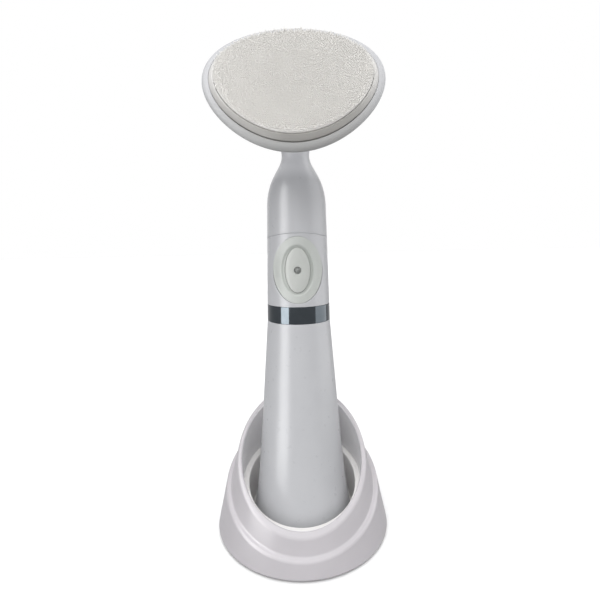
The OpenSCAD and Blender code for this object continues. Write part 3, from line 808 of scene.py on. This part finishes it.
def upper_grid():
    """Rows from the seam up the outside, over the lip, down through the bowl and back inside to the seam."""
    t = np.radians(np.linspace(0, 360, TURNS, endpoint=False))
    c, s = np.cos(t), np.sin(t)
    seam_r = upper_r(SEAM_Z)
    outside = [seam_row(t, seam_r - UPPER_WALL, 0), seam_row(t, seam_r - 0.25, 0)]
    outside += [seam_row(t, seam_r - 0.07, 0.06), seam_row(t, seam_r, 0.24)]
    for f in np.linspace(0.1, 0.95, 8):
        z0 = SEAM_Z + SEAM_SLOPE * seam_r * s + 0.24
        z = z0 + (SHOULDER_Z - z0) * f
        r = seam_r + (SHOULDER_R - seam_r) * f
        outside.append(np.column_stack([r * c, r * s, z]))
    outside += shoulder_rows(t, 0)
    foot = bowl_row(t, ROOT_DEPTH, BOWL_A, BOWL_B, BOWL_DEPTH)
    lean = foot - bowl_row(t, ROOT_DEPTH + 0.2, BOWL_A, BOWL_B, BOWL_DEPTH)
    lean /= np.linalg.norm(lean, axis=1)[:, None]
    neck = ring_row(t, NECK_R, NECK_Z)
    root = bezier([neck, neck + np.array([0, 0, ROOT_RISE]), foot - lean * ROOT_PULL, foot], 30)
    outside += root[1:]
    for depth in np.linspace(ROOT_DEPTH, 0, 26)[1:]:
        outside.append(bowl_row(t, depth, BOWL_A, BOWL_B, BOWL_DEPTH))
    turn = np.radians(np.linspace(12, 90, 8))
    lip = [(-1.3 * (1 - math.cos(p)) - 0.35 * math.sin(p), LIP_N + math.sin(p)) for p in turn]
    gap = BEZEL_A + 0.04 - BOWL_A
    lip += [(gap + 0.08, 0), (gap + 0.02, -0.03), (gap, -0.12)]
    outside += egg_rows(BOWL_A, BOWL_B, lip)
    seat = [(0.08, SEAT_N), (-1.1, SEAT_N)]
    inside = egg_rows(BEZEL_A, BEZEL_B, seat)
    size_a, size_b, deep = BOWL_A - BOWL_WALL, BOWL_B - BOWL_WALL, BOWL_DEPTH - BOWL_WALL
    for depth in np.linspace(3.2, 7.2, 8):
        inside.append(bowl_row(t, depth, size_a, size_b, deep))
    mouth = in_head(np.column_stack([MOUTH_X * c, MOUTH_W * s, np.full(len(t), MOUTH_N)]))
    passage = ring_row(t, PASSAGE_R, PASSAGE_Z)
    inside += bezier([inside[-1], mouth, passage + np.array([0, 0, PASSAGE_RISE]), passage], 12)[1:]
    inside += shoulder_rows(t, UPPER_WALL)[::-1]
    return np.array(outside + inside)


add_piece(
    "handle_upper",
    make_mesh("handle_upper", [(upper_grid(), True, True)]),
    "handle",
    "housing_plastic",
    ["upper_housing"],
    look="upper_plastic",
)

# ---------- button ----------


def surround_grid():
    """Soft frame round the button, with a groove at its inner edge."""
    path = rounded(
        [
            ((7.93, 10.58, 9.0), 0.1),
            ((7.93, 10.58, 10.42), 0.12),
            ((5.35, 8.15, SURROUND_FACE), 0.4),
            ((4.75, 7.55, GROOVE_FACE), 0.35),
            ((4.0, 7.2, 10.10), 0.12),
            ((4.0, 7.2, 9.0), 0.08),
        ],
        closed=True,
    )
    return oval_rows(path)


def key_grid():
    """The key, with a hole for the lens and a flange behind the frame."""
    path = rounded(
        [
            ((1.15, 1.15, 8.35), 0),
            ((1.15, 1.15, 10.30), 0.16),
            ((1.9, 2.4, 10.38), 0.4),
            ((3.0, 5.9, 10.42), 0.6),
            ((3.94, 7.14, 10.28), 0.2),
            ((3.96, 7.16, 8.78), 0.1),
            ((4.6, 7.8, 8.78), 0.1),
            ((4.6, 7.8, 8.32), 0.1),
        ],
        closed=True,
    )
    return oval_rows(path)


def front_turned(path, z):
    """Grid of a shape turned about an axis along Y at height z, for a path of (radius, y)."""
    t = np.radians(np.linspace(0, 360, SMALL_TURNS, endpoint=False))
    rows = []
    for r, y in path:
        rows.append(np.column_stack([r * np.cos(t), np.full(len(t), y), z + r * np.sin(t)]))
    return np.array(rows)


LENS_PATH = rounded(
    [
        ((0, -7.2), 0),
        ((1.1, -7.2), 0.1),
        ((1.1, -9.95), 0.08),
        ((0.72, -9.95), 0.06),
        ((0.62, -10.25), 0.2),
        ((0, -10.33), 0),
    ]
)
NIB_PATH = rounded([((0, -8.5), 0), ((1.2, -8.5), 0), ((1.2, -6.66), 0.2), ((0, -6.66), 0)])
add_piece(
    "button_surround_soft",
    make_mesh("button_surround_soft", [(surround_grid(), True, True)]),
    "handle",
    "button_soft",
    ["button_surround"],
    look="groove_soft",
)
add_piece(
    "button_key",
    make_mesh("button_key", [(key_grid(), True, True), (front_turned(NIB_PATH, NIB_Z), False, True)]),
    "button",
    "button_soft",
    ["button_cap"],
)
add_piece(
    "button_lens",
    make_mesh("button_lens", [(front_turned(LENS_PATH, BUTTON_Z), False, True)]),
    "button",
    "lens_smoke",
    ["light_pipe"],
)

# ---------- head ----------


def bezel_rows():
    """Collar round the pad, with a slope that rises from the bowl's lip."""
    inside = PAD_A - BEZEL_A
    path = rounded(
        [
            ((0, BEZEL_FOOT), 0.15),
            ((0, 0.05), 0.12),
            ((-0.42, 0.6), 0.25),
            ((-1.1, BEZEL_TOP), 0.3),
            ((inside + 0.1, BEZEL_TOP), 0.15),
            ((inside + 0.1, BEZEL_FOOT), 0.1),
        ],
        closed=True,
        steps=7,
    )
    return np.array(egg_rows(BEZEL_A - 0.03, BEZEL_B - 0.03, path))


add_piece(
    "head_bezel",
    make_mesh("head_bezel", [(bezel_rows(), True, True)]),
    "handle",
    "bezel_plastic",
    ["brush_bezel"],
)


def pad_crown(rho):
    """Height of the bristle tips above the joint line, from the pad's centre to its edge."""
    return PAD_H + 0.35 - 0.22 * rho**2 - 0.10 * np.clip((rho - 0.9) / 0.1, 0, 1) ** 2


def pad_core_rows():
    """The packed fibres below the tips, as one crowned body that fills the bezel."""
    path = [
        (-0.5, CORE_FOOT),
        (-0.06, 0.9),
        (-0.04, 1.55),
        (-0.2, 1.7),
        (-0.6, 1.78),
        (-3, 1.85),
        (-7, 1.92),
        (-13, CORE_TOP),
    ]
    bottom, centre = (np.repeat(in_head(np.array([[0, 0, n]])), TURNS, axis=0) for n in (CORE_FOOT, CORE_TOP))
    return np.array([bottom] + egg_rows(PAD_A, PAD_B, path) + [centre])


add_piece(
    "pad_core",
    make_mesh("pad_core", [(pad_core_rows(), False, True)]),
    "brush",
    "bristle_fibre",
    ["bristle_pad"],
)


def bristle_roots(pitch):
    """Places of the bristles in the face's plane, on a shaken hexagonal grid, and each one's nearness to
    the edge, from 0 at the centre to 1."""
    across = np.arange(-PAD_A * 1.2, PAD_A * 1.2, pitch)
    up = np.arange(-PAD_B, PAD_B, pitch * math.sqrt(3) / 2)
    x, w = np.meshgrid(across, up)
    x = x + (np.arange(len(up)) % 2)[:, None] * pitch / 2
    places = np.column_stack([x.ravel(), w.ravel()])
    places += rng.uniform(-0.24, 0.24, places.shape) * pitch
    a, b = PAD_A - 0.5, PAD_B - 0.5
    rho = np.hypot(places[:, 0] / (a * (1 + EGG * places[:, 1] / b)), places[:, 1] / b)
    keep = rho <= 1
    return places[keep], rho[keep]


def bristle_mesh(name, pitch, thick):
    """Closed fibres that start in the core, with the outer ones leaning out over the bezel."""
    places, rho = bristle_roots(pitch)
    count = len(places)
    edge = np.clip((rho - 0.90) / 0.10, 0, 1) ** 2
    outward = places / np.maximum(np.linalg.norm(places, axis=1), 1e-6)[:, None]
    top = np.clip(places[:, 1] / PAD_B, 0, 1)
    splay = edge * (1 + 0.9 * top) * rng.uniform(0.45, 0.85, count)
    lean = outward * splay[:, None] + rng.normal(0, 0.03, (count, 2))
    low = np.full(count, BEZEL_TOP + 0.3)
    high = pad_crown(rho) + 0.25 * top * edge
    high += rng.normal(0, 0.016, count)
    high += edge * rng.normal(0, 0.05, count)
    spin = rng.uniform(0, 2 * math.pi, count)
    around = spin[:, None] + np.arange(FIBRE_SIDES) * 2 * math.pi / FIBRE_SIDES
    ring = np.stack([np.cos(around), np.sin(around)], axis=-1)
    radius = thick / 2 * rng.uniform(0.85, 1.1, count)
    levels = [(0.0, 1.0, low), (0.85, 0.95, high - 0.12), (1.0, 0.35, high)]
    points = []
    for shift, size, n in levels:
        flat = places[:, None] + lean[:, None] * shift + ring * (radius * size)[:, None, None]
        height = np.broadcast_to(n[:, None, None], (count, FIBRE_SIDES, 1))
        points.append(np.concatenate([flat, height], axis=2))
    points = in_head(np.stack(points, axis=1)).reshape(-1, 3) * MM
    faces = []
    for k in range(count):
        base = len(levels) * FIBRE_SIDES * k
        for level in (0, 1):
            low_ring = base + FIBRE_SIDES * level
            high_ring = low_ring + FIBRE_SIDES
            for i in range(FIBRE_SIDES):
                j = (i + 1) % FIBRE_SIDES
                faces.append((low_ring + i, low_ring + j, high_ring + j, high_ring + i))
        faces.append(tuple(base + FIBRE_SIDES - 1 - i for i in range(FIBRE_SIDES)))
        faces.append(tuple(base + 2 * FIBRE_SIDES + i for i in range(FIBRE_SIDES)))
    mesh = bpy.data.meshes.new(name)
    mesh.from_pydata(points.tolist(), [], faces)
    return mesh


add_piece(
    "pad_bristles",
    bristle_mesh("pad_bristles", 0.43, 0.37),
    "brush",
    "bristle_fibre",
    ["bristle_pad"],
    sharp=None,
)

# ---------- the CAD nodes that stay ----------

SLOT_OF = {part["node"]: part["material_slot"] for part in frame["record"]["subparts"]}
for node_name, node in frame["nodes"].items():
    if node.hide_render:
        continue
    for material_slot in node.material_slots:
        material_slot.material = LOOKS[SLOT_OF[node_name]]
    if not node.material_slots:
        node.data.materials.append(LOOKS[SLOT_OF[node_name]])

# ---------- floor, light and camera ----------


def placed(name, data, matrix=None):
    """A new object in the scene."""
    thing = bpy.data.objects.new(name, data)
    bpy.context.scene.collection.objects.link(thing)
    if matrix is not None:
        thing.matrix_world = matrix
    return thing


def floor():
    """A pale floor that is nearly white to the camera and a middle grey in the light that it gives."""
    size, z = 4.0, -0.0001
    mesh = bpy.data.meshes.new("floor")
    corners = [(-size, -size, z), (size, -size, z), (size, size, z), (-size, size, z)]
    mesh.from_pydata(corners, [], [(0, 1, 2, 3)])
    sheet = placed("floor", mesh)
    g = Graph("floor_pale")
    tone = g.mix(g.noise(200.0), (0.96, 0.96, 0.96), (0.95, 0.95, 0.95))
    seen = g.add("ShaderNodeLightPath").outputs["Is Camera Ray"]
    g.link(g.mix(seen, (0.52, 0.52, 0.525), tone), g.shader.inputs["Base Color"])
    g.shader.inputs["Roughness"].default_value = 0.9
    g.shader.inputs["Specular IOR Level"].default_value = 0.0
    mesh.materials.append(g.material)


def pose(right, up, back, location):
    """Matrix with these axes at a location."""
    matrix = Matrix.Identity(4)
    for column, values in enumerate((right, up, back, location)):
        for i in range(3):
            matrix[i][column] = values[i]
    return matrix


def facing(location, target):
    """Matrix of a lamp at location that looks at target."""
    back = (np.array(location) - np.array(target)).astype(float)
    back /= np.linalg.norm(back)
    right = np.cross((0, 0, 1), back)
    right /= np.linalg.norm(right)
    return pose(right, np.cross(back, right), back, location)


def panel(name, location, target, width, height, radiance):
    """A rectangular soft light with this radiance, seen in reflections only."""
    lamp = bpy.data.lights.new(name, "AREA")
    lamp.shape = "RECTANGLE"
    lamp.size, lamp.size_y = width, height
    lamp.energy = radiance * math.pi * width * height
    thing = placed(name, lamp, facing(location, target))
    thing.visible_diffuse = False
    thing.visible_camera = False


def sun(name, direction, strength, angle):
    """A soft directional light that spreads over an angle in degrees."""
    lamp = bpy.data.lights.new(name, "SUN")
    lamp.energy, lamp.angle = strength, math.radians(angle)
    placed(name, lamp, facing([-v for v in direction], (0, 0, 0)))


def world(ambient, backdrop):
    """Even light from all round, and a brighter backdrop behind the object."""
    made = bpy.data.worlds.new("studio")
    made.use_nodes = True
    tree = made.node_tree
    soft = tree.nodes["Background"]
    soft.inputs["Color"].default_value = (*ambient, 1)
    bright = tree.nodes.new("ShaderNodeBackground")
    bright.inputs["Color"].default_value = (*backdrop, 1)
    which = tree.nodes.new("ShaderNodeLightPath")
    mix = tree.nodes.new("ShaderNodeMixShader")
    tree.links.new(which.outputs["Is Camera Ray"], mix.inputs[0])
    tree.links.new(soft.outputs[0], mix.inputs[1])
    tree.links.new(bright.outputs[0], mix.inputs[2])
    tree.links.new(mix.outputs[0], tree.nodes["World Output"].inputs["Surface"])
    bpy.context.scene.world = made


def camera():
    """A close, wide view: a little above the handle's middle, looking slightly down."""
    pitch, roll = 0.136837, 0.0204678
    data = bpy.data.cameras.new("camera")
    data.sensor_width, data.lens = 36, 24
    data.clip_start, data.clip_end = 0.005, 20
    back = np.array([0, -math.cos(pitch), math.sin(pitch)])
    right, up = np.array([1, 0, 0]), np.array([0, math.sin(pitch), math.cos(pitch)])
    turned_right = math.cos(roll) * right - math.sin(roll) * up
    turned_up = math.sin(roll) * right + math.cos(roll) * up
    place = (0.00055, -0.136, 0.099227)
    bpy.context.scene.camera = placed("camera", data, pose(turned_right, turned_up, back, place))


floor()
world((0.53, 0.53, 0.535), (1.0, 1.0, 1.0))
sun("top_light", (0.05, 0.52, -1), 2.15, 60)
sun("front_fill", (0.24, 1.0, -0.10), 0.70, 50)
sun("back_fill", (0.0, -1.0, -0.35), 0.80, 90)
panel("left_strip", (-0.052, -0.048, 0.19), (0, 0, 0.19), 0.036, 0.44, 7.2)
panel("right_fill", (0.17, 0.0, 0.22), (0, 0, 0.22), 0.18, 0.50, 1.9)
bpy.context.scene.view_settings.view_transform = "Standard"
camera()
